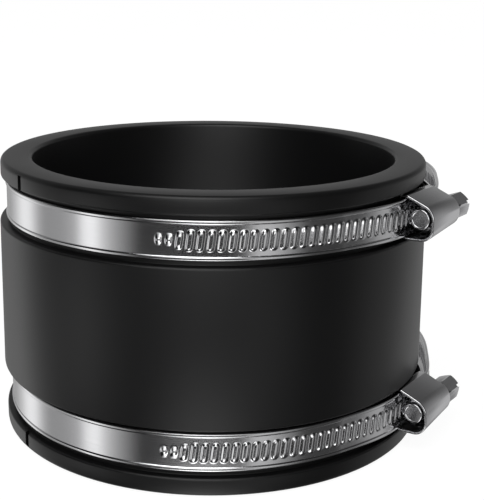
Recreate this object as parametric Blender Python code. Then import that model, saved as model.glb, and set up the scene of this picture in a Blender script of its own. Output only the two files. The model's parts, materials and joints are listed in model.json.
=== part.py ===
"""Flexible rubber pipe coupling: a moulded sleeve and two worm-drive band clamps.

The sleeve has a collar at each end and a groove beside it, where a clamp lies.
Each clamp is one steel band with a pressed thread, a looped housing and a screw.
A clamp is made once, round the sleeve's axis, and stands there twice.
"""

import math

import bmesh
import bpy
from mathutils import Matrix, Vector

MM = 0.001

# Sleeve
SLEEVE_LENGTH = 96.0 * MM
BORE_RADIUS = 65.0 * MM
COLLAR_WALL = 11.0 * MM
COLLAR_HEIGHT = 6.0 * MM
GROOVE_DEPTH = 2.8 * MM
GROOVE_MARGIN = 1.6 * MM
BARREL_RISE = 0.6 * MM
END_EDGE_FILLET = 1.6 * MM
BORE_EDGE_FILLET = 1.4 * MM
GROOVE_EDGE_FILLET = 0.7 * MM
NOTCH_WIDTH = 2.4 * MM
NOTCH_DEPTH = 1.3 * MM
NOTCH_TOP_LAND = 1.0 * MM
NOTCH_ANGLE = math.radians(-118.5)
SLEEVE_STEPS = 72

# Band
BAND_WIDTH = 12.7 * MM
BAND_THICKNESS = 0.6 * MM
SEAT_GAP = 0.3 * MM
LIP_WIDTH = 1.5 * MM
LIP_RISE = 0.35 * MM
THREAD_PITCH = 3.2 * MM
RIDGE_SPACING = 1.2 * MM
RIDGE_MARGIN = 1.3 * MM
RIDGE_HEIGHT = 0.55 * MM
RIDGE_END_SLOPE = 0.8 * MM
THREAD_START_ANGLE = math.radians(-77.0)
THREAD_END_MARGIN = 1.0 * MM
FIRST_RIDGES = (0.25, 0.5, 0.75)
HEAD_END_ANGLE = math.radians(-4.0)
TAIL_END_ANGLE = math.radians(49.0)
TAIL_END_CUT = 2.35 * MM
TAIL_END_TAPER = 3.0 * MM
TAIL_END_RISE = 13.0 * MM
PLAIN_STEP = 5.0 * MM

# Housing
HOUSING_LENGTH = 19.8 * MM
HOUSING_WALL = 0.9 * MM
HOUSING_TILT = math.radians(10.0)
HOUSING_BULGE_DROP = 2.7 * MM
HOUSING_CORNER_FILLET = 1.0 * MM
END_WALL = 1.0 * MM
END_WALL_INSET = 0.3 * MM

# Screw
WORM_RADIUS = 4.0 * MM
WORM_THREAD_DEPTH = 1.1 * MM
WORM_ROOT_WIDTH = 2.2 * MM
WORM_CREST_WIDTH = 0.9 * MM
WORM_RUN_CLEARANCE = 0.4 * MM
TIP_STEP = 0.5 * MM
TIP_LENGTH = 1.8 * MM
TIP_CHAMFER = 0.6 * MM
TIP_INSET = 0.3 * MM
NECK_STEP = 0.4 * MM
SHOULDER_LENGTH = 1.2 * MM
HEX_ACROSS_FLATS = 8.0 * MM
HEX_LENGTH = 9.1 * MM
HEX_CHAMFER = 0.6 * MM
HEX_TURN = math.radians(20.0)
SLOT_WIDTH = 1.3 * MM
SLOT_DEPTH = 2.0 * MM
SCREW_STEPS = 16

# Where the two clamps stand
UPPER_CLAMP_TURN = math.radians(0.3)
LOWER_CLAMP_TURN = math.radians(1.5)

# Worked out from the sizes above
COLLAR_RADIUS = BORE_RADIUS + COLLAR_WALL
GROOVE_RADIUS = COLLAR_RADIUS - GROOVE_DEPTH
BARREL_RADIUS = COLLAR_RADIUS + BARREL_RISE
GROOVE_WIDTH = BAND_WIDTH + 2 * GROOVE_MARGIN
CLAMP_END_DISTANCE = COLLAR_HEIGHT + GROOVE_WIDTH / 2
RIDGE_LENGTH = BAND_WIDTH - 2 * (LIP_WIDTH + RIDGE_MARGIN)
RIDGE_WIDTH = THREAD_PITCH - RIDGE_SPACING
BAND_MID_RADIUS = GROOVE_RADIUS + SEAT_GAP + BAND_THICKNESS / 2
FLOOR_BOTTOM = GROOVE_RADIUS + SEAT_GAP
FLOOR_TOP = FLOOR_BOTTOM + HOUSING_WALL
INNER_LAYER_MID = FLOOR_TOP + SEAT_GAP + BAND_THICKNESS / 2
OUTER_LAYER_MID = INNER_LAYER_MID + BAND_THICKNESS + SEAT_GAP
OUTER_LAYER_FACE = OUTER_LAYER_MID + BAND_THICKNESS / 2
OUTER_LAYER_TOP = OUTER_LAYER_FACE + max(RIDGE_HEIGHT, LIP_RISE)
AXIS_DISTANCE = OUTER_LAYER_TOP + WORM_RUN_CLEARANCE + WORM_RADIUS
HOUSING_HALF_HEIGHT = BAND_WIDTH / 2 + SEAT_GAP + HOUSING_WALL
HOUSING_MIDDLE = OUTER_LAYER_MID * math.tan(HOUSING_TILT)
HOUSING_FRONT = HOUSING_MIDDLE - HOUSING_LENGTH / 2
HOUSING_REAR = HOUSING_MIDDLE + HOUSING_LENGTH / 2
WORM_CORE_RADIUS = WORM_RADIUS - WORM_THREAD_DEPTH
TIP_RADIUS = WORM_RADIUS - TIP_STEP
NECK_RADIUS = WORM_CORE_RADIUS - NECK_STEP
SHOULDER_RADIUS = WORM_RADIUS

# How the two layers of the strip leave the housing's rear: share of the way to
# where the curve ends, and share of the distance to rise or fall
INNER_LAYER_FALL = ((0.0, 1.0), (0.2, 0.82), (0.5, 0.36), (0.8, 0.05), (1.0, 0.0))
INNER_LAYER_SPAN = math.radians(22.0)
TAIL_RISE = ((0.0, 0.0), (0.1, 0.07), (0.3, 0.1), (0.45, 0.2), (0.7, 0.55), (1.0, 1.0))
LIFT_SPAN = math.radians(22.0)


def clear_scene():
    for old in list(bpy.data.objects):
        bpy.data.objects.remove(old, do_unlink=True)


def material(name, colour, roughness, metallic):
    made = bpy.data.materials.new(name)
    made.use_nodes = True
    shader = made.node_tree.nodes["Principled BSDF"]
    shader.inputs["Base Color"].default_value = (*colour, 1.0)
    shader.inputs["Roughness"].default_value = roughness
    shader.inputs["Metallic"].default_value = metallic
    return made


def mesh_from(bm, name):
    bmesh.ops.recalc_face_normals(bm, faces=bm.faces[:])
    mesh = bpy.data.meshes.new(name)
    bm.to_mesh(mesh)
    bm.free()
    return mesh


def add_object(name, mesh, finish=None, parent=None):
    made = bpy.data.objects.new(name, mesh)
    bpy.context.scene.collection.objects.link(made)
    made.parent = parent
    if finish:
        mesh.materials.append(finish)
    return made


def add_empty(name, location, turn=0.0, parent=None):
    made = add_object(name, None, parent=parent)
    made.location = location
    made.rotation_euler = (0.0, 0.0, turn)
    return made


def smooth(mesh, angle=math.radians(28.0)):
    mesh.shade_smooth()
    mesh.set_sharp_from_angle(angle=angle)


def filleted(corners, steps=2):
    """The outline through (point, fillet radius) corners, with an arc at each corner."""
    outline = []
    for i, (corner, radius) in enumerate(corners):
        corner = Vector(corner)
        if radius == 0.0:
            outline.append(corner)
            continue
        before = (Vector(corners[i - 1][0]) - corner).normalized()
        after = (Vector(corners[(i + 1) % len(corners)][0]) - corner).normalized()
        half = before.angle(after) / 2
        centre = corner + (before + after).normalized() * (radius / math.sin(half))
        start = corner + before * (radius / math.tan(half)) - centre
        end = corner + after * (radius / math.tan(half)) - centre
        sweep = start.angle_signed(end)
        for k in range(steps + 1):
            outline.append(centre + Matrix.Rotation(-sweep * k / steps, 2) @ start)
    return outline


def turned(outline, axis, steps, closed=True):
    """A solid turned from an outline of (radius, height) points round an axis."""
    bm = bmesh.new()
    side = Vector((1.0, 0.0, 0.0))
    points = [bm.verts.new(side * r + axis * h) for r, h in outline]
    edges = [bm.edges.new(pair) for pair in zip(points, points[1:])]
    if closed:
        edges.append(bm.edges.new((points[-1], points[0])))
    bmesh.ops.spin(bm, geom=points + edges, cent=(0, 0, 0), axis=axis, angle=math.tau,
                   steps=steps, use_merge=True)
    bmesh.ops.remove_doubles(bm, verts=bm.verts[:], dist=0.001 * MM)
    return bm


def extruded(outline, along, length):
    """A solid pulled from a closed outline by a length."""
    bm = bmesh.new()
    face = bm.faces.new([bm.verts.new(p) for p in outline])
    pulled = bmesh.ops.extrude_face_region(bm, geom=[face])
    moved = [g for g in pulled["geom"] if isinstance(g, bmesh.types.BMVert)]
    bmesh.ops.translate(bm, verts=moved, vec=along * length)
    return bm


def combined(base, changes, name):
    """The mesh of base after each (operation, mesh) change, worked out by Booleans."""
    body = add_object(name, base)
    helpers = []
    for operation, mesh in changes:
        helper = add_object(name + "_helper", mesh)
        helper.hide_render = True
        helper.display_type = "WIRE"
        change = body.modifiers.new(operation.title(), "BOOLEAN")
        change.operation = operation
        change.solver = "EXACT"
        change.object = helper
        helpers.append(helper)
    graph = bpy.context.evaluated_depsgraph_get()
    result = bpy.data.meshes.new_from_object(body.evaluated_get(graph))
    for used in [body, *helpers]:
        bpy.data.objects.remove(used, do_unlink=True)
    result.name = name
    return result


# Sleeve: collars, grooves and barrel are one turned section, with a notch in each collar


def sleeve_section():
    top = SLEEVE_LENGTH
    first = COLLAR_HEIGHT
    second = COLLAR_HEIGHT + GROOVE_WIDTH
    edge = END_EDGE_FILLET
    bore = BORE_EDGE_FILLET
    soft = GROOVE_EDGE_FILLET
    corners = [
        ((BORE_RADIUS, top), bore),
        ((COLLAR_RADIUS, top), edge),
        ((COLLAR_RADIUS, top - first), soft),
        ((GROOVE_RADIUS, top - first), 0.0),
        ((GROOVE_RADIUS, top - second), 0.0),
        ((BARREL_RADIUS, top - second), soft),
        ((BARREL_RADIUS, second), soft),
        ((GROOVE_RADIUS, second), 0.0),
        ((GROOVE_RADIUS, first), 0.0),
        ((COLLAR_RADIUS, first), soft),
        ((COLLAR_RADIUS, 0.0), edge),
        ((BORE_RADIUS, 0.0), bore),
    ]
    return filleted(corners)


def notch_cutter(low, high):
    """A slot in the collar between two heights, open to the outside."""
    inner = COLLAR_RADIUS - NOTCH_DEPTH
    outer = COLLAR_RADIUS + NOTCH_DEPTH
    half = NOTCH_WIDTH / 2
    outline = [Vector((inner, -half, low)), Vector((outer, -half, low)),
               Vector((outer, half, low)), Vector((inner, half, low))]
    bm = extruded(outline, Vector((0, 0, 1)), high - low)
    turn = Matrix.Rotation(NOTCH_ANGLE, 3, "Z")
    bmesh.ops.rotate(bm, verts=bm.verts[:], cent=(0, 0, 0), matrix=turn)
    return mesh_from(bm, "notch")


def sleeve_mesh():
    body = mesh_from(turned(sleeve_section(), Vector((0, 0, 1)), SLEEVE_STEPS), "sleeve_body")
    into_groove = COLLAR_HEIGHT + GROOVE_MARGIN
    low = notch_cutter(NOTCH_TOP_LAND, into_groove)
    high = notch_cutter(SLEEVE_LENGTH - into_groove, SLEEVE_LENGTH - NOTCH_TOP_LAND)
    return combined(body, [("DIFFERENCE", low), ("DIFFERENCE", high)], "sleeve")


# Band: one strip that starts in the housing, goes once round and comes back over itself


def eased(share):
    share = min(max(share, 0.0), 1.0)
    return share * share * (3 - 2 * share)


def through(points, share):
    """A smooth curve through (share, value) points, read at one share."""
    share = min(max(share, 0.0), 1.0)
    last = len(points) - 1
    i = max(k for k in range(last) if points[k][0] <= share)

    def slope(k):
        a, b = points[max(k - 1, 0)], points[min(k + 1, last)]
        return (b[1] - a[1]) / (b[0] - a[0])

    (x0, y0), (x1, y1) = points[i], points[i + 1]
    width = x1 - x0
    t = (share - x0) / width
    return ((2 * t**3 - 3 * t**2 + 1) * y0 + (t**3 - 2 * t**2 + t) * width * slope(i)
            + (3 * t**2 - 2 * t**3) * y1 + (t**3 - t**2) * width * slope(i + 1))


def straight_radius(distance, angle):
    """Radius at an angle of the straight run through the housing."""
    return distance / math.cos(angle + HOUSING_TILT)


def housing_angles(distance):
    """Angles at which a straight run enters and leaves the housing."""
    front = math.atan2(HOUSING_FRONT, distance) - HOUSING_TILT
    rear = math.atan2(HOUSING_REAR, distance) - HOUSING_TILT
    return front, rear


def band_radius(angle):
    """Radius of the strip's middle, from the head end on past a full turn."""
    ring = BAND_MID_RADIUS
    front, rear = housing_angles(OUTER_LAYER_MID)
    if angle < math.pi:
        if angle <= rear:
            return straight_radius(INNER_LAYER_MID, angle)
        leave = straight_radius(INNER_LAYER_MID, rear) - ring
        return ring + leave * through(INNER_LAYER_FALL, (angle - rear) / INNER_LAYER_SPAN)
    angle -= math.tau
    if angle <= front:
        meet = straight_radius(OUTER_LAYER_MID, front) - ring
        return ring + meet * eased((angle - front + LIFT_SPAN) / LIFT_SPAN)
    if angle <= rear:
        return straight_radius(OUTER_LAYER_MID, angle)
    leave = straight_radius(OUTER_LAYER_MID, rear)
    rise = ring + TAIL_END_RISE - leave
    return leave + rise * through(TAIL_RISE, (angle - rear) / (TAIL_END_ANGLE - rear))


class BandPath:
    """The strip's middle line, read by the distance run along it."""

    STEP = math.radians(0.25)

    def __init__(self):
        start, end = HEAD_END_ANGLE, math.tau + TAIL_END_ANGLE
        count = math.ceil((end - start) / self.STEP)
        self.angles = [start + (end - start) * i / count for i in range(count + 1)]
        self.points = [self.at_angle(a) for a in self.angles]
        self.run = [0.0]
        for a, b in zip(self.points, self.points[1:]):
            self.run.append(self.run[-1] + (b - a).length)

    @staticmethod
    def at_angle(angle):
        radius = band_radius(angle)
        return Vector((radius * math.cos(angle), radius * math.sin(angle), 0.0))

    @property
    def length(self):
        return self.run[-1]

    def distance(self, angle):
        i = min(range(len(self.angles)), key=lambda k: abs(self.angles[k] - angle))
        return self.run[i]

    def frame(self, distance):
        """Place and outward direction at a distance along the strip."""
        distance = min(max(distance, 0.0), self.length)
        i = 1
        while self.run[i] < distance:
            i += 1
        share = (distance - self.run[i - 1]) / (self.run[i] - self.run[i - 1])
        along = (self.points[i] - self.points[i - 1]).normalized()
        place = self.points[i - 1].lerp(self.points[i], share)
        return place, Vector((along.y, -along.x, 0.0))


def strip_section(path, distance):
    """Eight points round the strip: outer face with two raised lips, then inner face."""
    place, out = path.frame(distance)
    into_taper = max(0.0, 1.0 - (path.length - distance) / TAIL_END_TAPER)
    half = BAND_WIDTH / 2
    narrowed = (half - TAIL_END_CUT * into_taper) / half
    outer = [
        (-half, LIP_RISE),
        (-(half - LIP_WIDTH), 0.0),
        (half - LIP_WIDTH, 0.0),
        (half, LIP_RISE),
    ]
    inner = [(z, rise - BAND_THICKNESS) for z, rise in reversed(outer)]
    face = place + out * (BAND_THICKNESS / 2)
    return [face + out * rise + Vector((0, 0, z * narrowed)) for z, rise in outer + inner]


def add_ridge(bm, path, corners, centre, size):
    """One pressed ridge on the strip's outer face, inside the four corners of its cell."""
    slant = THREAD_PITCH / (math.tau * WORM_RADIUS)
    half_width = RIDGE_WIDTH / 2
    half_length = RIDGE_LENGTH / 2 * size
    crest_half = half_length - RIDGE_END_SLOPE * size

    def point(along, z, rise):
        place, out = path.frame(centre + along + z * slant)
        return bm.verts.new(place + out * (BAND_THICKNESS / 2 + rise) + Vector((0, 0, z)))

    foot = [
        point(-half_width, -half_length, 0.0),
        point(half_width, -half_length, 0.0),
        point(half_width, half_length, 0.0),
        point(-half_width, half_length, 0.0),
    ]
    crest = [point(0.0, -crest_half, RIDGE_HEIGHT), point(0.0, crest_half, RIDGE_HEIGHT)]
    bm.faces.new((foot[0], foot[1], crest[0]))
    bm.faces.new((foot[1], foot[2], crest[1], crest[0]))
    bm.faces.new((foot[2], foot[3], crest[1]))
    bm.faces.new((foot[3], foot[0], crest[0], crest[1]))
    for i in range(4):
        after = (i + 1) % 4
        bm.faces.new((corners[i], corners[after], foot[after], foot[i]))


def band_stations(path):
    """Distances of the mesh's sections along the strip, and which of them the thread has."""
    start = path.distance(math.tau + THREAD_START_ANGLE)
    taper = path.length - TAIL_END_TAPER
    cells = int((taper - THREAD_END_MARGIN - start) / THREAD_PITCH)
    plain = math.ceil(start / PLAIN_STEP)
    stations = [start * i / plain for i in range(plain)]
    stations += [start + THREAD_PITCH * i for i in range(cells + 1)]
    return stations + [taper, path.length], plain, cells


def band_mesh():
    path = BandPath()
    stations, first, cells = band_stations(path)
    bm = bmesh.new()
    rings = [[bm.verts.new(p) for p in strip_section(path, s)] for s in stations]
    bm.faces.new(rings[0])
    bm.faces.new(rings[-1])
    for i, (a, b) in enumerate(zip(rings, rings[1:])):
        cell = i - first
        for k in range(8):
            after = (k + 1) % 8
            if k == 1 and 0 <= cell < cells:
                centre = (stations[i] + stations[i + 1]) / 2
                size = FIRST_RIDGES[cell] if cell < len(FIRST_RIDGES) else 1.0
                add_ridge(bm, path, (a[1], b[1], b[2], a[2]), centre, size)
            else:
                bm.faces.new((a[k], b[k], b[after], a[after]))
    mesh = mesh_from(bm, "band")
    smooth(mesh, math.radians(20.0))
    return mesh


# Housing: sheet looped round the screw and under the strip, with an end wall at the head


def tangent_point(corner, centre, radius, side):
    """Where the straight line from a corner touches a circle."""
    away = corner - centre
    turn = math.acos(radius / away.length) * side
    return Matrix.Rotation(turn, 2) @ (away.normalized() * radius) + centre


def arc_points(centre, radius, start, end, steps):
    points = []
    for k in range(steps + 1):
        turn = start + (end - start) * k / steps
        points.append(centre + Vector((math.cos(turn), math.sin(turn))) * radius)
    return points


def tunnel_outline(inset, place):
    """The housing's section as (distance, height) at a place along the screw.

    It is round over the screw. Below the screw it bulges at the front end, and the bulge
    shrinks to almost nothing at the head's end.
    """
    share = (HOUSING_REAR + 2 * END_WALL - place) / (HOUSING_LENGTH + 4 * END_WALL)
    half = HOUSING_HALF_HEIGHT - inset
    floor = FLOOR_BOTTOM + inset
    radius = WORM_RADIUS + WORM_RUN_CLEARANCE + HOUSING_WALL - inset
    centre = Vector((AXIS_DISTANCE, 0.0))
    bulge_radius = radius + share * (half - HOUSING_BULGE_DROP - radius)
    bulge = Vector((AXIS_DISTANCE + radius - bulge_radius, -share * HOUSING_BULGE_DROP))
    shoulder = Vector((OUTER_LAYER_FACE + LIP_RISE, half))
    foot = Vector((shoulder.x, -half))
    upper = tangent_point(shoulder, centre, radius, -1) - centre
    lower = tangent_point(foot, bulge, bulge_radius, 1) - bulge
    fillet = max(HOUSING_CORNER_FILLET - inset, 0.0)
    base = filleted([((floor, -half), fillet), ((floor, half), fillet), (shoulder, 0.0),
                     (foot, 0.0)])
    outline = base[:-1] + arc_points(centre, radius, math.atan2(upper.y, upper.x), 0.0, 6)
    return outline + arc_points(bulge, bulge_radius, 0.0, math.atan2(lower.y, lower.x), 6) + base[-1:]


def lofted(near, far):
    """A solid between two outlines that have the same number of points."""
    bm = bmesh.new()
    near = [bm.verts.new(p) for p in near]
    far = [bm.verts.new(p) for p in far]
    bm.faces.new(near)
    bm.faces.new(far)
    for k in range(len(near)):
        bm.faces.new((near[k - 1], near[k], far[k]))
        bm.faces.new((near[k - 1], far[k], far[k - 1]))
    bmesh.ops.recalc_face_normals(bm, faces=bm.faces[:])
    return bm


def along_screw(outline, place):
    return [Vector((distance, place, height)) for distance, height in outline]


def tunnel_solid(inset, start, end, name):
    """The housing's form, or the room in it, between two places along the screw."""
    near, far = (along_screw(tunnel_outline(inset, place), place) for place in (start, end))
    return mesh_from(lofted(near, far), name)


def end_wall_mesh():
    """The wall at the head's end, seated halfway into the sheet and open over the strip."""
    start = HOUSING_REAR - END_WALL_INSET - END_WALL
    plate = tunnel_solid(HOUSING_WALL / 2, start, start + END_WALL, "plate")
    top = OUTER_LAYER_TOP + SEAT_GAP
    wide = 2 * HOUSING_HALF_HEIGHT
    gate = [(GROOVE_RADIUS, -wide), (top, -wide), (top, wide), (GROOVE_RADIUS, wide)]
    axis = Vector((AXIS_DISTANCE, 0.0))
    hole = arc_points(axis, NECK_RADIUS + SEAT_GAP, 0.0, math.tau, SCREW_STEPS)[:-1]
    cuts = []
    for name, outline in (("gate", gate), ("hole", hole)):
        near = along_screw(outline, start - END_WALL)
        cuts.append(("DIFFERENCE", mesh_from(extruded(near, Vector((0, 1, 0)), 3 * END_WALL), name)))
    return combined(plate, cuts, "end_wall")


def housing_mesh():
    body = tunnel_solid(0.0, HOUSING_FRONT, HOUSING_REAR, "body")
    room = tunnel_solid(HOUSING_WALL, HOUSING_FRONT - END_WALL, HOUSING_REAR + END_WALL, "room")
    changes = [("DIFFERENCE", room), ("UNION", end_wall_mesh())]
    mesh = combined(body, changes, "housing")
    mesh.transform(Matrix.Rotation(-HOUSING_TILT, 4, "Z"))
    smooth(mesh)
    return mesh


# Screw: worm, neck, shoulder and head in one piece along +Y, with its origin at the tip


def neck_span():
    """Where the neck starts and ends, with a gap on each side of the housing's end wall."""
    wall = HOUSING_LENGTH - END_WALL_INSET - END_WALL - TIP_INSET
    return wall - SEAT_GAP, wall + END_WALL + SEAT_GAP


def screw_section():
    """Half outline of the turned blank as (radius, distance), from tip to shoulder."""
    neck_start, neck_end = neck_span()
    return [
        (0.0, 0.0),
        (TIP_RADIUS - TIP_CHAMFER, 0.0),
        (TIP_RADIUS, TIP_CHAMFER),
        (TIP_RADIUS, TIP_LENGTH),
        (WORM_CORE_RADIUS, TIP_LENGTH + (TIP_RADIUS - WORM_CORE_RADIUS)),
        (WORM_CORE_RADIUS, neck_start),
        (NECK_RADIUS, neck_start),
        (NECK_RADIUS, neck_end),
        (SHOULDER_RADIUS, neck_end),
        (SHOULDER_RADIUS, neck_end + SHOULDER_LENGTH),
        (0.0, neck_end + SHOULDER_LENGTH),
    ]


def thread_solid():
    """The worm's thread: a wedge wound round the core that runs out at both ends."""
    root = WORM_CORE_RADIUS - SEAT_GAP
    start = TIP_LENGTH + THREAD_PITCH / 2
    length = neck_span()[0] - THREAD_PITCH / 2 - start
    count = round(length / THREAD_PITCH * SCREW_STEPS)
    bm = bmesh.new()
    rings = []
    for i in range(count + 1):
        turn = math.tau * i / SCREW_STEPS
        place = Vector((0.0, start + length * i / count, 0.0))
        side = Vector((math.cos(turn), 0.0, -math.sin(turn)))
        from_end = min(i, count - i) / (SCREW_STEPS / 2)
        crest = root + SEAT_GAP / 2
        crest += (WORM_RADIUS - crest) * min(1.0, from_end)
        shape = [(root, -WORM_ROOT_WIDTH / 2), (crest, -WORM_CREST_WIDTH / 2),
                 (crest, WORM_CREST_WIDTH / 2), (root, WORM_ROOT_WIDTH / 2)]
        rings.append([bm.verts.new(place + side * r + Vector((0, y, 0))) for r, y in shape])
    bm.faces.new(rings[0])
    bm.faces.new(rings[-1])
    for a, b in zip(rings, rings[1:]):
        for k in range(4):
            after = (k + 1) % 4
            bm.faces.new((a[k], b[k], b[after], a[after]))
    return mesh_from(bm, "thread")


def hex_head(start):
    """The six-sided head, its outer corners turned off by a chamfer."""
    corner = HEX_ACROSS_FLATS / 2 / math.cos(math.pi / 6)
    sunk = start - SHOULDER_LENGTH / 2
    end = start + HEX_LENGTH
    outline = []
    for k in range(6):
        turn = HEX_TURN + math.tau * k / 6
        outline.append(Vector((corner * math.cos(turn), sunk, corner * math.sin(turn))))
    prism = mesh_from(extruded(outline, Vector((0, 1, 0)), end - sunk), "prism")
    wide = corner + HEX_CHAMFER
    profile = [(0.0, start - SHOULDER_LENGTH), (wide, start - SHOULDER_LENGTH),
               (wide, end - 2 * HEX_CHAMFER), (corner - HEX_CHAMFER, end), (0.0, end)]
    blank = turned(profile, Vector((0, 1, 0)), 2 * SCREW_STEPS, closed=False)
    return combined(prism, [("INTERSECT", mesh_from(blank, "blank"))], "head")


def driver_slot(end):
    """A saw cut across the head's end."""
    half = SLOT_WIDTH / 2
    across = HEX_ACROSS_FLATS
    low = end - SLOT_DEPTH
    outline = [Vector((-across, low, -half)), Vector((across, low, -half)),
               Vector((across, low, half)), Vector((-across, low, half))]
    bm = extruded(outline, Vector((0, 1, 0)), 2 * SLOT_DEPTH)
    turn = Matrix.Rotation(-HEX_TURN, 3, "Y")
    bmesh.ops.rotate(bm, verts=bm.verts[:], cent=(0, 0, 0), matrix=turn)
    return mesh_from(bm, "slot")


def screw_mesh():
    section = screw_section()
    head_start = section[-1][1]
    blank = turned(section, Vector((0, 1, 0)), SCREW_STEPS, closed=False)
    changes = [("UNION", thread_solid()), ("UNION", hex_head(head_start)),
               ("DIFFERENCE", driver_slot(head_start + HEX_LENGTH))]
    mesh = combined(mesh_from(blank, "blank"), changes, "screw")
    smooth(mesh)
    return mesh


# The whole coupling: the sleeve, and a clamp near each end


def add_clamp(side, height, turn, meshes, finishes, root):
    centre = add_empty(side + "_clamp", (0.0, 0.0, height), turn, root)
    add_object(side + "_band", meshes["band"].copy(), finishes["band"], centre)
    add_object(side + "_housing", meshes["housing"].copy(), finishes["housing"], centre)
    screw = add_object(side + "_screw", meshes["screw"].copy(), finishes["screw"], centre)
    tilt = Matrix.Rotation(-HOUSING_TILT, 3, "Z")
    screw.location = tilt @ Vector((AXIS_DISTANCE, HOUSING_FRONT + TIP_INSET, 0.0))
    screw.rotation_euler = (0.0, 0.0, -HOUSING_TILT)


def centre_on_origin(root):
    """Moves the coupling so that the middle of its box stands over the origin."""
    bpy.context.view_layer.update()
    points = [piece.matrix_world @ v.co for piece in bpy.data.objects
              if piece.type == "MESH" for v in piece.data.vertices]
    for k in (0, 1):
        values = [p[k] for p in points]
        root.location[k] = -(min(values) + max(values)) / 2


clear_scene()
finishes = {
    "sleeve": material("black_rubber", (0.012, 0.012, 0.013), 0.42, 0.0),
    "band": material("stainless_band", (0.56, 0.56, 0.57), 0.24, 1.0),
    "housing": material("stainless_housing", (0.50, 0.50, 0.51), 0.30, 1.0),
    "screw": material("plated_screw", (0.48, 0.48, 0.49), 0.33, 1.0),
}
coupling = add_empty("coupling", (0.0, 0.0, 0.0))
sleeve = sleeve_mesh()
smooth(sleeve)
add_object("sleeve", sleeve, finishes["sleeve"], coupling)
clamp = {"band": band_mesh(), "housing": housing_mesh(), "screw": screw_mesh()}
add_clamp("upper", SLEEVE_LENGTH - CLAMP_END_DISTANCE, UPPER_CLAMP_TURN, clamp, finishes, coupling)
add_clamp("lower", CLAMP_END_DISTANCE, LOWER_CLAMP_TURN, clamp, finishes, coupling)
centre_on_origin(coupling)
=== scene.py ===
import json
import math

import bmesh
import bpy
from mathutils import Matrix, Vector

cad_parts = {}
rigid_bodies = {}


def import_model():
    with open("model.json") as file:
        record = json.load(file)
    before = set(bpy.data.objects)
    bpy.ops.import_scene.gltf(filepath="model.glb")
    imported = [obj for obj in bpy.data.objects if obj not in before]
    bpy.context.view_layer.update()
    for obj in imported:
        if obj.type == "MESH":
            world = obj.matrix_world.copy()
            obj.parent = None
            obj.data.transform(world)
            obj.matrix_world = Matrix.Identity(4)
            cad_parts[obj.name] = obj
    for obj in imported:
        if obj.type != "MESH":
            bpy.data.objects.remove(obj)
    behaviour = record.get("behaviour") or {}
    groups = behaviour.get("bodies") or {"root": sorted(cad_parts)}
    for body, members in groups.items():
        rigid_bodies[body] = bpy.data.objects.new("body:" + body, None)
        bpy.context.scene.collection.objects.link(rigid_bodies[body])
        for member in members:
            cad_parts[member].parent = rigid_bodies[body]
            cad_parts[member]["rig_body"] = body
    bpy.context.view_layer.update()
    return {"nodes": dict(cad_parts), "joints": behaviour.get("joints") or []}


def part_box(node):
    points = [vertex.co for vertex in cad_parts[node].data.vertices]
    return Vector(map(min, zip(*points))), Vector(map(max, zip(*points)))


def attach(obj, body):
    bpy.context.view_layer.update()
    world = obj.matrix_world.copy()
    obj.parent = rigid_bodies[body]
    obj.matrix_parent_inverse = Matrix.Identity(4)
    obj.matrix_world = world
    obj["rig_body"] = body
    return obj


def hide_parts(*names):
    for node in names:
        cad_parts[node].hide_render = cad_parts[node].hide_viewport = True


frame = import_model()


# The sleeve is one moulding in black rubber, open from end to end. A collar closes each
# groove towards the end, and a small notch in the collar is where the mould was vented.
MM = 0.001
UP = Vector((0, 0, 1))

sleeve_low, sleeve_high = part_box("sleeve")
sleeve_axis = Vector(((sleeve_low.x + sleeve_high.x) / 2, (sleeve_low.y + sleeve_high.y) / 2, 0))
sleeve_length = sleeve_high.z
barrel_radius = (sleeve_high.y - sleeve_low.y) / 2
barrel_swell, collar_wall = 0.6 * MM, 11 * MM
collar_radius = barrel_radius - barrel_swell
bore_radius = collar_radius - collar_wall
groove_depth, groove_width = 2.8 * MM, 15.9 * MM
groove_radius = collar_radius - groove_depth
collar_height = 6 * MM
notch_angle = math.radians(-118.5)
notch_width, notch_depth = 2.4 * MM, 1.3 * MM
notch_land, notch_run = 1.0 * MM, 1.6 * MM
sleeve_steps, edge_steps = 240, 5


class Wire:
    """An output of a shader's node. Arithmetic on it adds Math nodes."""

    def __init__(self, finish, socket):
        self.finish = finish
        self.socket = socket

    def math(self, operation, *values):
        return self.finish.node("ShaderNodeMath", {"operation": operation}, dict(enumerate(values)))

    def __add__(self, other):
        return self.math("ADD", self, other)

    def __sub__(self, other):
        return self.math("SUBTRACT", self, other)

    def __rsub__(self, other):
        return self.math("SUBTRACT", other, self)

    def __mul__(self, other):
        return self.math("MULTIPLY", self, other)

    __radd__ = __add__
    __rmul__ = __mul__


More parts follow.
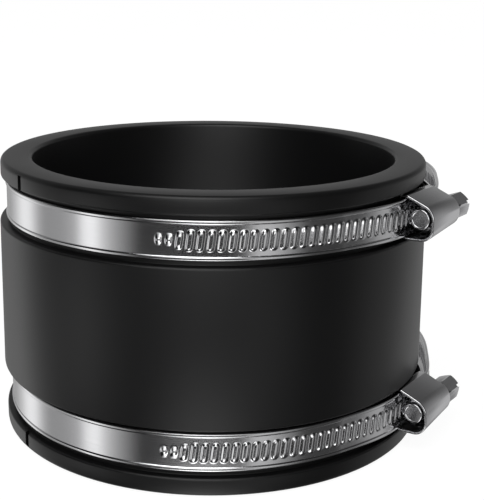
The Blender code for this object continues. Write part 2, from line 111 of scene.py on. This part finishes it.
class Finish:
    """A material, or the world, as a tree of nodes."""

    def __init__(self, name, owner=None):
        self.owner = owner or bpy.data.materials.new(name)
        self.owner.use_nodes = True
        self.tree = self.owner.node_tree

    def node(self, kind, settings, inputs, output=0):
        made = self.tree.nodes.new(kind)
        stops = settings.pop("stops", ())
        for name, value in settings.items():
            setattr(made, name, value)
        for i, (place, value) in enumerate(stops):
            ramp = made.color_ramp.elements
            stop = ramp[i] if i < 2 else ramp.new(place)
            stop.position = place
            stop.color = (value, value, value, 1)
        for name, value in inputs.items():
            self.feed(made.inputs[name], value)
        return Wire(self, made.outputs[output])

    def feed(self, socket, value):
        if isinstance(value, Wire):
            self.tree.links.new(value.socket, socket)
        else:
            socket.default_value = value

    def surface(self, **inputs):
        shader = self.tree.nodes["Principled BSDF"]
        for name, value in inputs.items():
            self.feed(shader.inputs[name.replace("_", " ").title().replace("Ior", "IOR")], value)
        return self.owner

    def place(self):
        return self.node("ShaderNodeTexCoord", {}, {}, output="Object")

    def noise(self, place, scale, detail=3.0):
        return self.node("ShaderNodeTexNoise", {}, {"Vector": place, "Scale": scale, "Detail": detail})

    def ramp(self, value, *stops):
        return self.node("ShaderNodeValToRGB", {"stops": stops}, {"Fac": value})

    def bump(self, height, distance, strength):
        return self.node("ShaderNodeBump", {}, {"Height": height, "Distance": distance,
                                                "Strength": strength}, output="Normal")


def black_rubber():
    rubber = Finish("black_rubber")
    place = rubber.place()
    cloud = rubber.noise(place, 28)
    grain = rubber.noise(place, 2600, detail=2)
    return rubber.surface(
        base_color=(0.0034, 0.0034, 0.0036, 1),
        roughness=0.34 + 0.06 * cloud + 0.04 * grain,
        normal=rubber.bump(grain, 0.02 * MM, 0.5),
        specular_ior_level=0.34,
    )


def rounded(corners, steps):
    """The outline through (point, radius) corners, with an arc at each corner that has one."""
    outline = []
    for i, (corner, radius) in enumerate(corners):
        corner = Vector(corner)
        if not radius:
            outline.append(corner)
            continue
        before = (Vector(corners[i - 1][0]) - corner).normalized()
        after = (Vector(corners[(i + 1) % len(corners)][0]) - corner).normalized()
        half = before.angle(after) / 2
        centre = corner + (before + after).normalized() * (radius / math.sin(half))
        start = corner + before * (radius / math.tan(half)) - centre
        sweep = start.angle_signed(corner + after * (radius / math.tan(half)) - centre)
        outline += [centre + Matrix.Rotation(-sweep * k / steps, 2) @ start for k in range(steps + 1)]
    return outline


def lofted(rings, name, closed=False):
    """A mesh through rings of points, closed on itself or by a face at each end."""
    made = bmesh.new()
    rows = [[made.verts.new(point) for point in ring] for ring in rings]
    pairs = list(zip(rows, rows[1:]))
    if closed:
        pairs.append((rows[-1], rows[0]))
    else:
        made.faces.new(rows[0])
        made.faces.new(rows[-1])
    for near, far in pairs:
        for k in range(len(near)):
            made.faces.new((near[k - 1], far[k - 1], far[k], near[k]))
    bmesh.ops.recalc_face_normals(made, faces=made.faces[:])
    mesh = bpy.data.meshes.new(name)
    made.to_mesh(mesh)
    made.free()
    return mesh


def turned(outline, steps, name):
    """A closed outline of (radius, height) points turned round the vertical."""
    rings = []
    for i in range(steps):
        turn = math.tau * i / steps
        rings.append([(r * math.cos(turn), r * math.sin(turn), z) for r, z in outline])
    return lofted(rings, name, closed=True)


def block(low, high, name):
    """A box between two corners."""
    ring = [(low[0], low[1]), (high[0], low[1]), (high[0], high[1]), (low[0], high[1])]
    return lofted([[(x, y, z) for x, y in ring] for z in (low[2], high[2])], name)


def worked(base, changes, name):
    """The mesh of base after each (operation, mesh) change."""
    body = bpy.data.objects.new(name, base)
    bpy.context.scene.collection.objects.link(body)
    tools = []
    for operation, mesh in changes:
        tool = bpy.data.objects.new(name + "_tool", mesh)
        bpy.context.scene.collection.objects.link(tool)
        change = body.modifiers.new(operation.title(), "BOOLEAN")
        change.operation = operation
        change.solver = "EXACT"
        change.object = tool
        tools.append(tool)
    graph = bpy.context.evaluated_depsgraph_get()
    mesh = bpy.data.meshes.new_from_object(body.evaluated_get(graph))
    for used in [body, *tools]:
        bpy.data.objects.remove(used, do_unlink=True)
    return mesh


def fitted(name, mesh, finish, node, place=Matrix.Identity(4), sharp=35):
    """A piece of the coupling that stands for its node and moves with that node's body."""
    mesh.transform(place)
    mesh.shade_smooth()
    mesh.set_sharp_from_angle(angle=math.radians(sharp))
    mesh.materials.clear()
    mesh.materials.append(finish)
    piece = bpy.data.objects.new(name, mesh)
    bpy.context.scene.collection.objects.link(piece)
    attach(piece, frame["nodes"][node]["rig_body"])
    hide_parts(node)


def sleeve_outline():
    top = sleeve_length
    groove_start = collar_height
    groove_end = collar_height + groove_width
    end_edge, bore_edge, soft_edge, groove_corner = 1.6 * MM, 1.4 * MM, 0.7 * MM, 0.25 * MM
    return rounded([
        ((bore_radius, top), bore_edge),
        ((collar_radius, top), end_edge),
        ((collar_radius, top - groove_start), soft_edge),
        ((groove_radius, top - groove_start), groove_corner),
        ((groove_radius, top - groove_end), groove_corner),
        ((barrel_radius, top - groove_end), soft_edge),
        ((barrel_radius, groove_end), soft_edge),
        ((groove_radius, groove_end), groove_corner),
        ((groove_radius, groove_start), groove_corner),
        ((collar_radius, groove_start), soft_edge),
        ((collar_radius, 0), end_edge),
        ((bore_radius, 0), bore_edge),
    ], edge_steps)


def notch(low, high):
    half = notch_width / 2
    inside, outside = collar_radius - notch_depth, collar_radius + notch_depth
    tool = block((inside, -half, low), (outside, half, high), "notch")
    tool.transform(Matrix.Rotation(notch_angle, 4, "Z"))
    return tool


into_groove = collar_height + notch_run
sleeve_mesh = worked(turned(sleeve_outline(), sleeve_steps, "sleeve"), [
    ("DIFFERENCE", notch(notch_land, into_groove)),
    ("DIFFERENCE", notch(sleeve_length - into_groove, sleeve_length - notch_land)),
], "sleeve")
fitted("rubber_sleeve", sleeve_mesh, black_rubber(), "sleeve", Matrix.Translation(sleeve_axis))


# Each clamp's band is one strip of stainless steel with rolled lips. It starts inside the
# housing, goes once round in the groove, and comes back through the housing on top of its
# own start; the worm's thread is pressed into its last part, up to the tail's end.
band_width = 12.7 * MM
band_thickness = 0.6 * MM
seat_gap = 0.3 * MM
lip_width, lip_rise, lip_droop = 1.5 * MM, 0.35 * MM, 0.28 * MM
thread_pitch = 3.2 * MM
ridge_length, ridge_width, ridge_height = 7.4 * MM, 3.1 * MM, 0.55 * MM
ridge_flank, ridge_sharpness = 1.1 * MM, 1.5
first_sizes = (0.16, 0.45, 0.85)
thread_start = math.radians(-77)
head_end = math.radians(-4)
tail_end = math.radians(49)
tail_rise, tail_cut, tail_taper = 13.0 * MM, 2.35 * MM, 3.0 * MM
thread_end_margin, slant_start = 1.0 * MM, 3.0 * MM
plain_step = 1.6 * MM
housing_length, housing_wall = 19.8 * MM, 0.9 * MM
housing_tilt = math.radians(10)
worm_radius, worm_clearance = 4.0 * MM, 0.4 * MM

ring_middle = groove_radius + seat_gap + band_thickness / 2
floor_top = groove_radius + seat_gap + housing_wall
inner_layer = floor_top + seat_gap + band_thickness / 2
outer_layer = inner_layer + band_thickness + seat_gap
strip_face = outer_layer + band_thickness / 2
worm_axis = strip_face + ridge_height + worm_clearance + worm_radius
housing_front = outer_layer * math.tan(housing_tilt) - housing_length / 2
housing_rear = housing_front + housing_length
worm_slant = thread_pitch / (math.tau * worm_radius)
inner_fall = ((0, 1), (0.2, 0.82), (0.5, 0.36), (0.8, 0.05), (1, 0))
tail_lift = ((0, 0), (0.1, 0.07), (0.3, 0.1), (0.45, 0.2), (0.7, 0.55), (1, 1))
curve_span = math.radians(22)


def eased(share):
    share = min(max(share, 0), 1)
    return share * share * (3 - 2 * share)


def through(points, share):
    """A smooth curve through (share, value) points."""
    share = min(max(share, 0), 1)
    last = len(points) - 1
    i = max(k for k in range(last) if points[k][0] <= share)

    def slope(k):
        a, b = points[max(k - 1, 0)], points[min(k + 1, last)]
        return (b[1] - a[1]) / (b[0] - a[0])

    (x0, y0), (x1, y1) = points[i], points[i + 1]
    width = x1 - x0
    t = (share - x0) / width
    return ((2 * t**3 - 3 * t**2 + 1) * y0 + (t**3 - 2 * t**2 + t) * width * slope(i)
            + (3 * t**2 - 2 * t**3) * y1 + (t**3 - t**2) * width * slope(i + 1))


def strip_radius(angle):
    """Radius of the strip's middle, from the head end on past a full turn."""
    front = math.atan2(housing_front, outer_layer) - housing_tilt
    rear = math.atan2(housing_rear, outer_layer) - housing_tilt
    if angle < math.pi:
        inside = inner_layer / math.cos(min(angle, rear) + housing_tilt)
        fall = through(inner_fall, (angle - rear) / curve_span) if angle > rear else 1
        return ring_middle + (inside - ring_middle) * fall
    angle -= math.tau
    inside = outer_layer / math.cos(min(max(angle, front), rear) + housing_tilt)
    if angle < front:
        return ring_middle + (inside - ring_middle) * eased((angle - front + curve_span) / curve_span)
    if angle > rear:
        rise = ring_middle + tail_rise - inside
        return inside + rise * through(tail_lift, (angle - rear) / (tail_end - rear))
    return inside


class StripPath:
    """The strip's middle line, read by the distance run along it."""

    STEP = math.radians(0.1)

    def __init__(self):
        sweep = math.tau + tail_end - head_end
        count = math.ceil(sweep / self.STEP)
        self.angles = [head_end + sweep * i / count for i in range(count + 1)]
        radii = [strip_radius(angle) for angle in self.angles]
        self.points = [Vector((r * math.cos(a), r * math.sin(a), 0)) for r, a in zip(radii, self.angles)]
        self.run = [0.0]
        for a, b in zip(self.points, self.points[1:]):
            self.run.append(self.run[-1] + (b - a).length)
        self.length = self.run[-1]
        self.at = 1

    def distance(self, angle):
        return self.run[min(range(len(self.angles)), key=lambda k: abs(self.angles[k] - angle))]

    def frame(self, distance):
        distance = min(max(distance, 0), self.length)
        while self.at > 1 and self.run[self.at - 1] > distance:
            self.at -= 1
        while self.run[self.at] < distance:
            self.at += 1
        i = self.at
        share = (distance - self.run[i - 1]) / (self.run[i] - self.run[i - 1])
        ahead = min(i + 1, len(self.points) - 1)
        behind = max(i - 2, 0)
        along = (self.points[ahead] - self.points[behind]).normalized()
        return self.points[i - 1].lerp(self.points[i], share), along, Vector((along.y, -along.x, 0))


def lip_height(from_edge):
    """Height of the rolled lip over the strip, by the distance in from the strip's edge."""
    into = 1 - from_edge / lip_width
    if into <= 0:
        return 0.0
    rise_end, droop_start = 0.3, 0.72
    roll = 1 - (1 - min(into / rise_end, 1)) ** 2
    return lip_rise * roll - lip_droop * max(0.0, (into - droop_start) / (1 - droop_start)) ** 2


def ridge_height_at(across, z, size):
    """Height of one pressed ridge: a narrow crest with round ends and a wide skirt."""
    half_width = ridge_width / 2
    past = max(abs(z) - max(ridge_length / 2 * size - half_width, 0), 0)
    return ridge_height * eased((half_width - math.hypot(across, past)) / ridge_flank) ** ridge_sharpness


def strip_lines():
    """Heights over the strip's width at which its surface has a line of points."""
    lip_shares = (0, 0.06, 0.14, 0.24, 0.4, 0.6, 0.74, 0.84, 0.92, 1.0, 1.12)
    steps_out = (0.1, 0.0, -0.16, -0.32, -0.48, -0.64, -0.8, -1.0, -1.3)
    lip = [band_width / 2 - share * lip_width for share in lip_shares]
    ends = [ridge_length / 2 + step * MM for step in steps_out]
    upper = lip + ends + [1.5 * MM, 0.7 * MM, 0]
    return upper + [-z for z in reversed(upper[:-1])]


def strip_stations(start, cells, length):
    """Distances along the strip at which it has a ring of points, close together on each ridge."""
    plain_count = math.ceil(start / plain_step)
    stations = [start * i / plain_count for i in range(plain_count)]
    flank_shares = (0.0, 0.14, 0.28, 0.42, 0.56, 0.7, 0.85, 1.0)
    side = [ridge_width / 2 - share * ridge_flank for share in flank_shares]
    pressed = [-thread_pitch / 2] + [-a for a in side] + [0] + side[::-1]
    for c in range(cells):
        stations += [start + (c + 0.5) * thread_pitch + a for a in pressed]
    last, tail_count = stations[-1], 8
    return stations + [last + (length - last) * i / tail_count for i in range(1, tail_count + 1)]


def band_mesh():
    path = StripPath()
    start = path.distance(math.tau + thread_start)
    cells = int((path.length - tail_taper - thread_end_margin - start) / thread_pitch)
    half = band_width / 2
    lines = strip_lines()
    rings = []
    for s in strip_stations(start, cells, path.length):
        place, along, out = path.frame(s)
        left = path.length - s
        narrowed = 1 - tail_cut / half * max(0, 1 - left / tail_taper)
        slant = worm_slant * eased((s - start) / slant_start) * eased((left - tail_taper) / slant_start)
        c = math.floor((s - start) / thread_pitch)
        across = s - start - (c + 0.5) * thread_pitch
        size = first_sizes[c] if 0 <= c < len(first_sizes) else 1
        outer, inner = [], []
        for z in lines:
            rise = lip_height(half - abs(z))
            if 0 <= c < cells:
                rise += ridge_height_at(across, z, size)
            turned_in = eased((half - abs(z)) / (2 * lip_width))
            level = UP * (z * narrowed) + along * (z * slant * turned_in)
            outer.append(place + out * (band_thickness / 2 + rise) + level)
            inner.append(place + out * (min(rise, lip_rise) - band_thickness / 2) + level)
        rings.append(outer + inner[::-1])
    return lofted(rings, "band")


def bright_steel(name, colour, roughness):
    """Rolled strip: fine lines run round the ring, with a faint cloud over them."""
    steel = Finish(name)
    place = steel.place()
    drawn_out = steel.node("ShaderNodeMapping", {}, {"Vector": place, "Scale": (1, 1, 60)})
    lines = steel.noise(drawn_out, 90, detail=4)
    cloud = steel.noise(place, 60)
    return steel.surface(
        base_color=(*colour, 1),
        metallic=1.0,
        roughness=roughness + 0.10 * (lines - 0.5) + 0.08 * (cloud - 0.5),
        normal=steel.bump(lines, 0.01 * MM, 0.35),
    )


joints = {joint["child"]: joint for joint in frame["joints"]}
band_steel = bright_steel("stainless_band", (0.56, 0.56, 0.57), 0.17)


def clamp_place(side):
    """Where a clamp stands: its middle height, turned so that its worm lies on its joint."""
    joint = joints[side + "_screw"]
    axis = Vector(joint["axis"])
    turn = -math.atan2(axis.x, axis.y) + housing_tilt
    centre = sleeve_axis + UP * joint["pos_m"][2]
    return Matrix.Translation(centre) @ Matrix.Rotation(turn, 4, "Z")


strip = band_mesh()
for side in ("upper", "lower"):
    fitted(side + "_clamp_band", strip.copy(), band_steel, side + "_band", clamp_place(side), sharp=50)


# The housing is one folded sheet: flat under both layers of the strip, up at the sides and
# round over the worm, bulging below it. A wall across its rear end carries the screw's neck.
housing_steel = bright_steel("stainless_housing", (0.50, 0.50, 0.51), 0.2)
bulge_drop = 2.7 * MM
corner_fillet, least_fillet, shoulder_fillet = 1.0 * MM, 0.15 * MM, 0.8 * MM
fillet_steps, loop_steps, hole_steps = 5, 20, 48
edge_round, round_steps = 0.4 * MM, 4
end_wall, end_wall_inset = 1.0 * MM, 0.3 * MM
neck_radius = 2.5 * MM


def arc(centre, radius, start, end, steps):
    turns = [start + (end - start) * k / steps for k in range(steps + 1)]
    return [centre + Vector((math.cos(t), math.sin(t))) * radius for t in turns]


def touch(corner, centre, radius, side):
    """Direction in which a straight line from a corner touches a circle."""
    away = corner - centre
    return math.atan2(away.y, away.x) + side * math.acos(radius / away.length)


def housing_outline(inset, place):
    """The section as (distance, height): it bulges below the worm, less and less to the rear."""
    share = (housing_rear + 2 * end_wall - place) / (housing_length + 4 * end_wall)
    half = band_width / 2 + seat_gap + housing_wall - inset
    floor = groove_radius + seat_gap + inset
    radius = worm_radius + worm_clearance + housing_wall - inset
    centre = Vector((worm_axis, 0))
    bulge_radius = radius + share * (half - bulge_drop - radius)
    bulge = Vector((worm_axis + radius - bulge_radius, -share * bulge_drop))
    shoulder = Vector((strip_face + lip_rise, half))
    foot = Vector((shoulder.x, -half))
    start = touch(shoulder, centre, radius, -1)
    end = touch(foot, bulge, bulge_radius, 1)
    end -= math.tau if end > 0 else 0
    fillet = max(corner_fillet - inset, least_fillet)
    first = arc(centre, radius, start, 0, loop_steps)
    last = arc(bulge, bulge_radius, 0, end, loop_steps)[1:]
    base = rounded([
        ((floor, -half), fillet),
        ((floor, half), fillet),
        (shoulder, shoulder_fillet),
        (first[0], 0),
        (last[-1], 0),
        (foot, shoulder_fillet),
    ], fillet_steps)
    corner_points = fillet_steps + 1
    return base[:3 * corner_points] + first + last + base[-corner_points:]


def along_worm(outline, y):
    """A flat outline set square to the worm's axis, at y along it."""
    return [(distance, y, height) for distance, height in outline]


def housing_mesh():
    outer, inner = [], []
    for k in range(round_steps + 1):
        turn = math.pi / 2 * k / round_steps
        inset = edge_round * (1 - math.sin(turn))
        back = edge_round * (1 - math.cos(turn))
        outer.append((back, inset))
        inner.append((back, housing_wall - inset))
    side = [(housing_front + back, inset) for back, inset in outer]
    side += [(housing_rear - back, inset) for back, inset in reversed(outer)]
    side += [(housing_rear - back, inset) for back, inset in inner]
    side += [(housing_front + back, inset) for back, inset in reversed(inner)]
    sections = [along_worm(housing_outline(inset, y), y) for y, inset in side]
    body = lofted(sections, "housing", closed=True)
    wall_start = housing_rear - end_wall_inset - end_wall
    wall = lofted([along_worm(housing_outline(housing_wall / 2, y), y)
                   for y in (wall_start, wall_start + end_wall)], "end_wall")
    before, behind = wall_start - end_wall, housing_rear + end_wall
    gate = block((groove_radius, before, -band_width),
                 (strip_face + ridge_height + seat_gap, behind, band_width), "gate")
    ring = arc(Vector((worm_axis, 0)), neck_radius + seat_gap, 0, math.tau, hole_steps)[:-1]
    hole = lofted([along_worm(ring, y) for y in (before, behind)], "hole")
    wall = worked(wall, [("DIFFERENCE", gate), ("DIFFERENCE", hole)], "end_wall")
    mesh = worked(body, [("UNION", wall)], "housing")
    mesh.transform(Matrix.Rotation(-housing_tilt, 4, "Z"))
    return mesh


housing = housing_mesh()
for side in ("upper", "lower"):
    fitted(side + "_clamp_housing", housing.copy(), housing_steel, side + "_housing", clamp_place(side))


# The screw is turned from one piece of plated steel: a worm that ends in a plain tip, a neck
# in the housing's end wall, a shoulder behind it, and a hex head with a saw cut for a driver.
screw_steel = bright_steel("plated_screw", (0.48, 0.48, 0.49), 0.24)
tip_radius, tip_length, tip_inset = 3.5 * MM, 1.8 * MM, 0.3 * MM
tip_edge, tip_dish = 0.55 * MM, 0.12 * MM
core_radius = 2.9 * MM
thread_steps, thread_run_out = 40, 0.15 * MM
thread_foot, thread_shoulder, thread_crest, crest_drop = 1.1 * MM, 0.5 * MM, 0.36 * MM, 0.12 * MM
shoulder_length = 1.2 * MM
hex_flats, hex_length, hex_turn = 8.0 * MM, 9.1 * MM, math.radians(20)
hex_chamfer, hex_lead = 0.6 * MM, 3.5 * MM
turned_edge = 0.2 * MM
bar_steps, trim_steps, weld_distance = 64, 96, 0.0005 * MM
slot_width, slot_depth = 1.3 * MM, 2.0 * MM


def round_bar(outline, steps, name):
    """A solid turned round +Y from (radius, distance) points, which start and end on the axis."""
    made = bmesh.new()
    points = [made.verts.new((r, y, 0)) for r, y in outline]
    edges = [made.edges.new(pair) for pair in zip(points, points[1:])]
    bmesh.ops.spin(made, geom=points + edges, cent=(0, 0, 0), axis=(0, 1, 0), angle=math.tau,
                   steps=steps, use_merge=True)
    bmesh.ops.remove_doubles(made, verts=made.verts[:], dist=weld_distance)
    bmesh.ops.recalc_face_normals(made, faces=made.faces[:])
    mesh = bpy.data.meshes.new(name)
    made.to_mesh(mesh)
    made.free()
    return mesh


def worm_thread(start, end):
    """A wedge wound round the core, which runs out at both ends."""
    count = round((end - start) / thread_pitch * thread_steps)
    root = core_radius - seat_gap
    lowest = root + thread_run_out
    rings = []
    for i in range(count + 1):
        turn = math.tau * i / thread_steps
        y = start + (end - start) * i / count
        side = Vector((math.cos(turn), 0, -math.sin(turn)))
        full = min(1, 2 * i / thread_steps, 2 * (count - i) / thread_steps)
        crest = lowest + (worm_radius - lowest) * full
        half = [(root, thread_foot), (crest - crest_drop, thread_shoulder), (crest, thread_crest)]
        section = [(r, -offset) for r, offset in half] + half[::-1]
        rings.append([side * r + Vector((0, y + offset, 0)) for r, offset in section])
    return lofted(rings, "worm_thread")


def hex_head(start):
    """Six flats, the corners turned down at both ends: at the base they pass over the band."""
    corner = hex_flats / 2 / math.cos(math.pi / 6)
    sunk = start - shoulder_length / 2
    end = start + hex_length
    hexagon = [(corner * math.cos(t), corner * math.sin(t))
               for t in (hex_turn + math.tau * k / 6 for k in range(6))]
    prism = lofted([along_worm(hexagon, y) for y in (sunk, end)], "prism")
    wide = corner + hex_chamfer
    trim = round_bar([
        (0, start - shoulder_length),
        (worm_radius - turned_edge, sunk),
        (wide, start + hex_lead),
        (wide, end - 2 * hex_chamfer),
        (corner - hex_chamfer, end),
        (0, end),
    ], trim_steps, "trim")
    return worked(prism, [("INTERSECT", trim)], "head")


def driver_slot(end):
    """A saw cut across the head's end, from corner to corner."""
    half, reach = slot_width / 2, 0.75 * hex_flats
    slot = block((-reach, end - slot_depth, -half), (reach, end + reach, half), "slot")
    slot.transform(Matrix.Rotation(-hex_turn, 4, "Y"))
    return slot


def screw_mesh():
    wall = housing_length - end_wall_inset - end_wall - tip_inset
    neck_start = wall - seat_gap
    neck_end = wall + end_wall + seat_gap
    head_start = neck_end + shoulder_length
    tip = [(0, tip_dish), (tip_radius - 1.7 * tip_edge, tip_dish), (tip_radius - 1.4 * tip_edge, 0)]
    for k in range(edge_steps + 1):
        t = math.pi / 2 * k / edge_steps
        tip.append((tip_radius - tip_edge * (1 - math.sin(t)), tip_edge * (1 - math.cos(t))))
    outline = tip + [
        (tip_radius, tip_length),
        (core_radius, tip_length + tip_radius - core_radius),
        (core_radius, neck_start),
        (neck_radius, neck_start + turned_edge),
        (neck_radius, neck_end),
        (worm_radius - turned_edge, neck_end),
        (worm_radius, neck_end + turned_edge),
        (worm_radius, head_start - turned_edge),
        (worm_radius - turned_edge, head_start),
        (0, head_start),
    ]
    bar = round_bar(outline, bar_steps, "screw")
    thread = worm_thread(tip_length + thread_pitch / 2, neck_start - thread_pitch / 2)
    changes = [("UNION", thread), ("UNION", hex_head(head_start)),
               ("DIFFERENCE", driver_slot(head_start + hex_length))]
    return worked(bar, changes, "screw")


screw = screw_mesh()
for side in ("upper", "lower"):
    joint = joints[side + "_screw"]
    along = Vector(joint["axis"])
    turn = Matrix.Rotation(-math.atan2(along.x, along.y), 4, "Z")
    place = Matrix.Translation(Vector(joint["pos_m"])) @ turn
    fitted(side + "_clamp_screw", screw.copy(), screw_steel, side + "_screw", place, sharp=30)


# The studio: a pale floor under a white surround, one wide soft lamp overhead and a small
# one in the bore. The steel and the rubber mirror soft panels with dark card between them.
def panels(finish, direction):
    """Light by direction, from (degrees round, level) rows: tall panels, and a low row under them."""
    compass = finish.node("ShaderNodeTexGradient", {"gradient_type": "RADIAL"}, {"Vector": direction},
                          output="Fac")
    tall = (
        (-180, 0.9), (-170, 0.6), (-163, 0.2), (-156, 0.0), (-102, 0.0), (-89, 0.9), (-77, 3.0),
        (-64, 3.4), (-51, 1.6), (-41, 0.5), (-31, 0.05), (18, 0.05), (35, 0.35), (50, 0.5),
        (60, 0.35), (75, 0.3), (100, 0.6), (150, 0.6), (170, 0.45), (180, 0.9),
    )
    low = (
        (-180, 1.35), (-171, 0.65), (-165, 0.42), (-150, 0.48), (-140, 0.65), (-136, 1.4), (-129, 1.7),
        (-123, 0.95), (-117, 0.6), (-109, 0.3), (-102, 0.05), (-55, 0.04), (-46, 0.15), (-40, 0.8),
        (-33, 0.8), (-20, 0.35), (-12, 0.08), (12, 0.06), (22, 0.5), (32, 0.6), (42, 0.3),
        (58, 0.75), (80, 0.6), (98, 0.4), (120, 0.35), (150, 0.45), (161, 0.75), (172, 1.35),
        (180, 1.35),
    )
    tall, low = (finish.ramp(compass, *[((angle + 180) / 360, level) for angle, level in row])
                 for row in (tall, low))
    height = 0.5 + 0.5 * finish.node("ShaderNodeSeparateXYZ", {}, {"Vector": direction}, output="Z")
    fade = finish.ramp(height, (0.5, 1.0), (0.6, 0.75), (0.78, 0.35))
    in_low = finish.ramp(height, (0.23, 0.0), (0.26, 1.0), (0.45, 1.0), (0.48, 0.0))
    return tall * fade * (1 - in_low) + low * in_low


def soft_lamp(name, place, size, power, aim):
    lamp = bpy.data.lights.new(name, "AREA")
    lamp.shape = "DISK"
    lamp.size = size
    lamp.energy = power
    light = bpy.data.objects.new(name, lamp)
    light.location = place
    light.rotation_euler = (Vector(aim) - Vector(place)).to_track_quat("-Z", "Y").to_euler()
    bpy.context.scene.collection.objects.link(light)


view_azimuth = math.radians(27.5)
to_viewer = Vector((math.sin(view_azimuth), -math.cos(view_azimuth), 0))
soft_lamp("overhead_lamp", (0.1, -0.65, 1.1), size=0.9, power=7, aim=(0, 0, 0.05))
bore_middle = sleeve_axis + UP * 0.042
soft_lamp("bore_lamp", bore_middle + to_viewer * 0.05, size=0.08, power=0.016, aim=bore_middle)

floor_reach, floor_gap, floor_depth = 4, 0.2 * MM, 10 * MM
floor_low = (-floor_reach, -floor_reach, -floor_depth)
floor_mesh = block(floor_low, (floor_reach, floor_reach, -floor_gap), "floor")
pale = Finish("pale_floor")
rays = pale.tree.nodes.new("ShaderNodeLightPath")
seen = Wire(pale, rays.outputs["Is Camera Ray"])
floor_glow, glow_share = 1.1, 0.85
white = pale.node("ShaderNodeEmission", {}, {"Color": (1, 1, 1, 1), "Strength": floor_glow})
matte = pale.node("ShaderNodeBsdfDiffuse", {}, {"Color": (0.85, 0.85, 0.85, 1)})
mixed = pale.node("ShaderNodeMixShader", {}, {0: seen * glow_share, 1: matte, 2: white})
pale.feed(pale.tree.nodes["Material Output"].inputs["Surface"], mixed)
floor_mesh.materials.append(pale.owner)
floor = bpy.data.objects.new("floor", floor_mesh)
bpy.context.scene.collection.objects.link(floor)
floor.visible_glossy = False

sky = Finish("studio", owner=bpy.data.worlds.new("studio"))
bpy.context.scene.world = sky.owner
rays = sky.tree.nodes.new("ShaderNodeLightPath")
seen = Wire(sky, rays.outputs["Is Camera Ray"])
background = sky.tree.nodes["Background"]
background.inputs["Color"].default_value = (1, 1, 1, 1)
direction = sky.node("ShaderNodeTexCoord", {}, {}, output="Generated")
mirrored = Wire(sky, rays.outputs["Is Glossy Ray"]) + Wire(sky, rays.outputs["Is Transmission Ray"])
rest = 1 - seen - mirrored
soft_level = 0.5
sky.feed(background.inputs["Strength"], seen + mirrored * panels(sky, direction) + soft_level * rest)

bpy.context.scene.view_settings.view_transform = "Standard"


# The camera stands where the photograph was taken from: in front of the coupling, a little
# above its upper rim, and turned so that both screw housings show at the right.
camera_elevation = math.radians(16.99)
camera_distance = 397.4 * MM
look_down = math.radians(11.65)
look_right = math.radians(1.59)
camera_roll = math.radians(0.72)
focal_pixels = 1061.6
picture_width, picture_height = 484, 500
principal_point = (243, 179)

lens = bpy.data.cameras.new("camera")
lens.sensor_width = 36
lens.lens = focal_pixels / picture_height * lens.sensor_width
lens.shift_x = (picture_width / 2 - principal_point[0]) / picture_height
lens.shift_y = (principal_point[1] - picture_height / 2) / picture_height
lens.clip_start, lens.clip_end = 0.01, 20
camera = bpy.data.objects.new("camera", lens)
reach = camera_distance * math.cos(camera_elevation)
height = sleeve_length / 2 + camera_distance * math.sin(camera_elevation)
camera.location = sleeve_axis + to_viewer * reach + UP * height
camera.rotation_euler = (Matrix.Rotation(view_azimuth - look_right, 3, "Z")
                         @ Matrix.Rotation(math.pi / 2 - look_down, 3, "X")
                         @ Matrix.Rotation(camera_roll, 3, "Z")).to_euler()
bpy.context.scene.collection.objects.link(camera)
bpy.context.scene.camera = camera
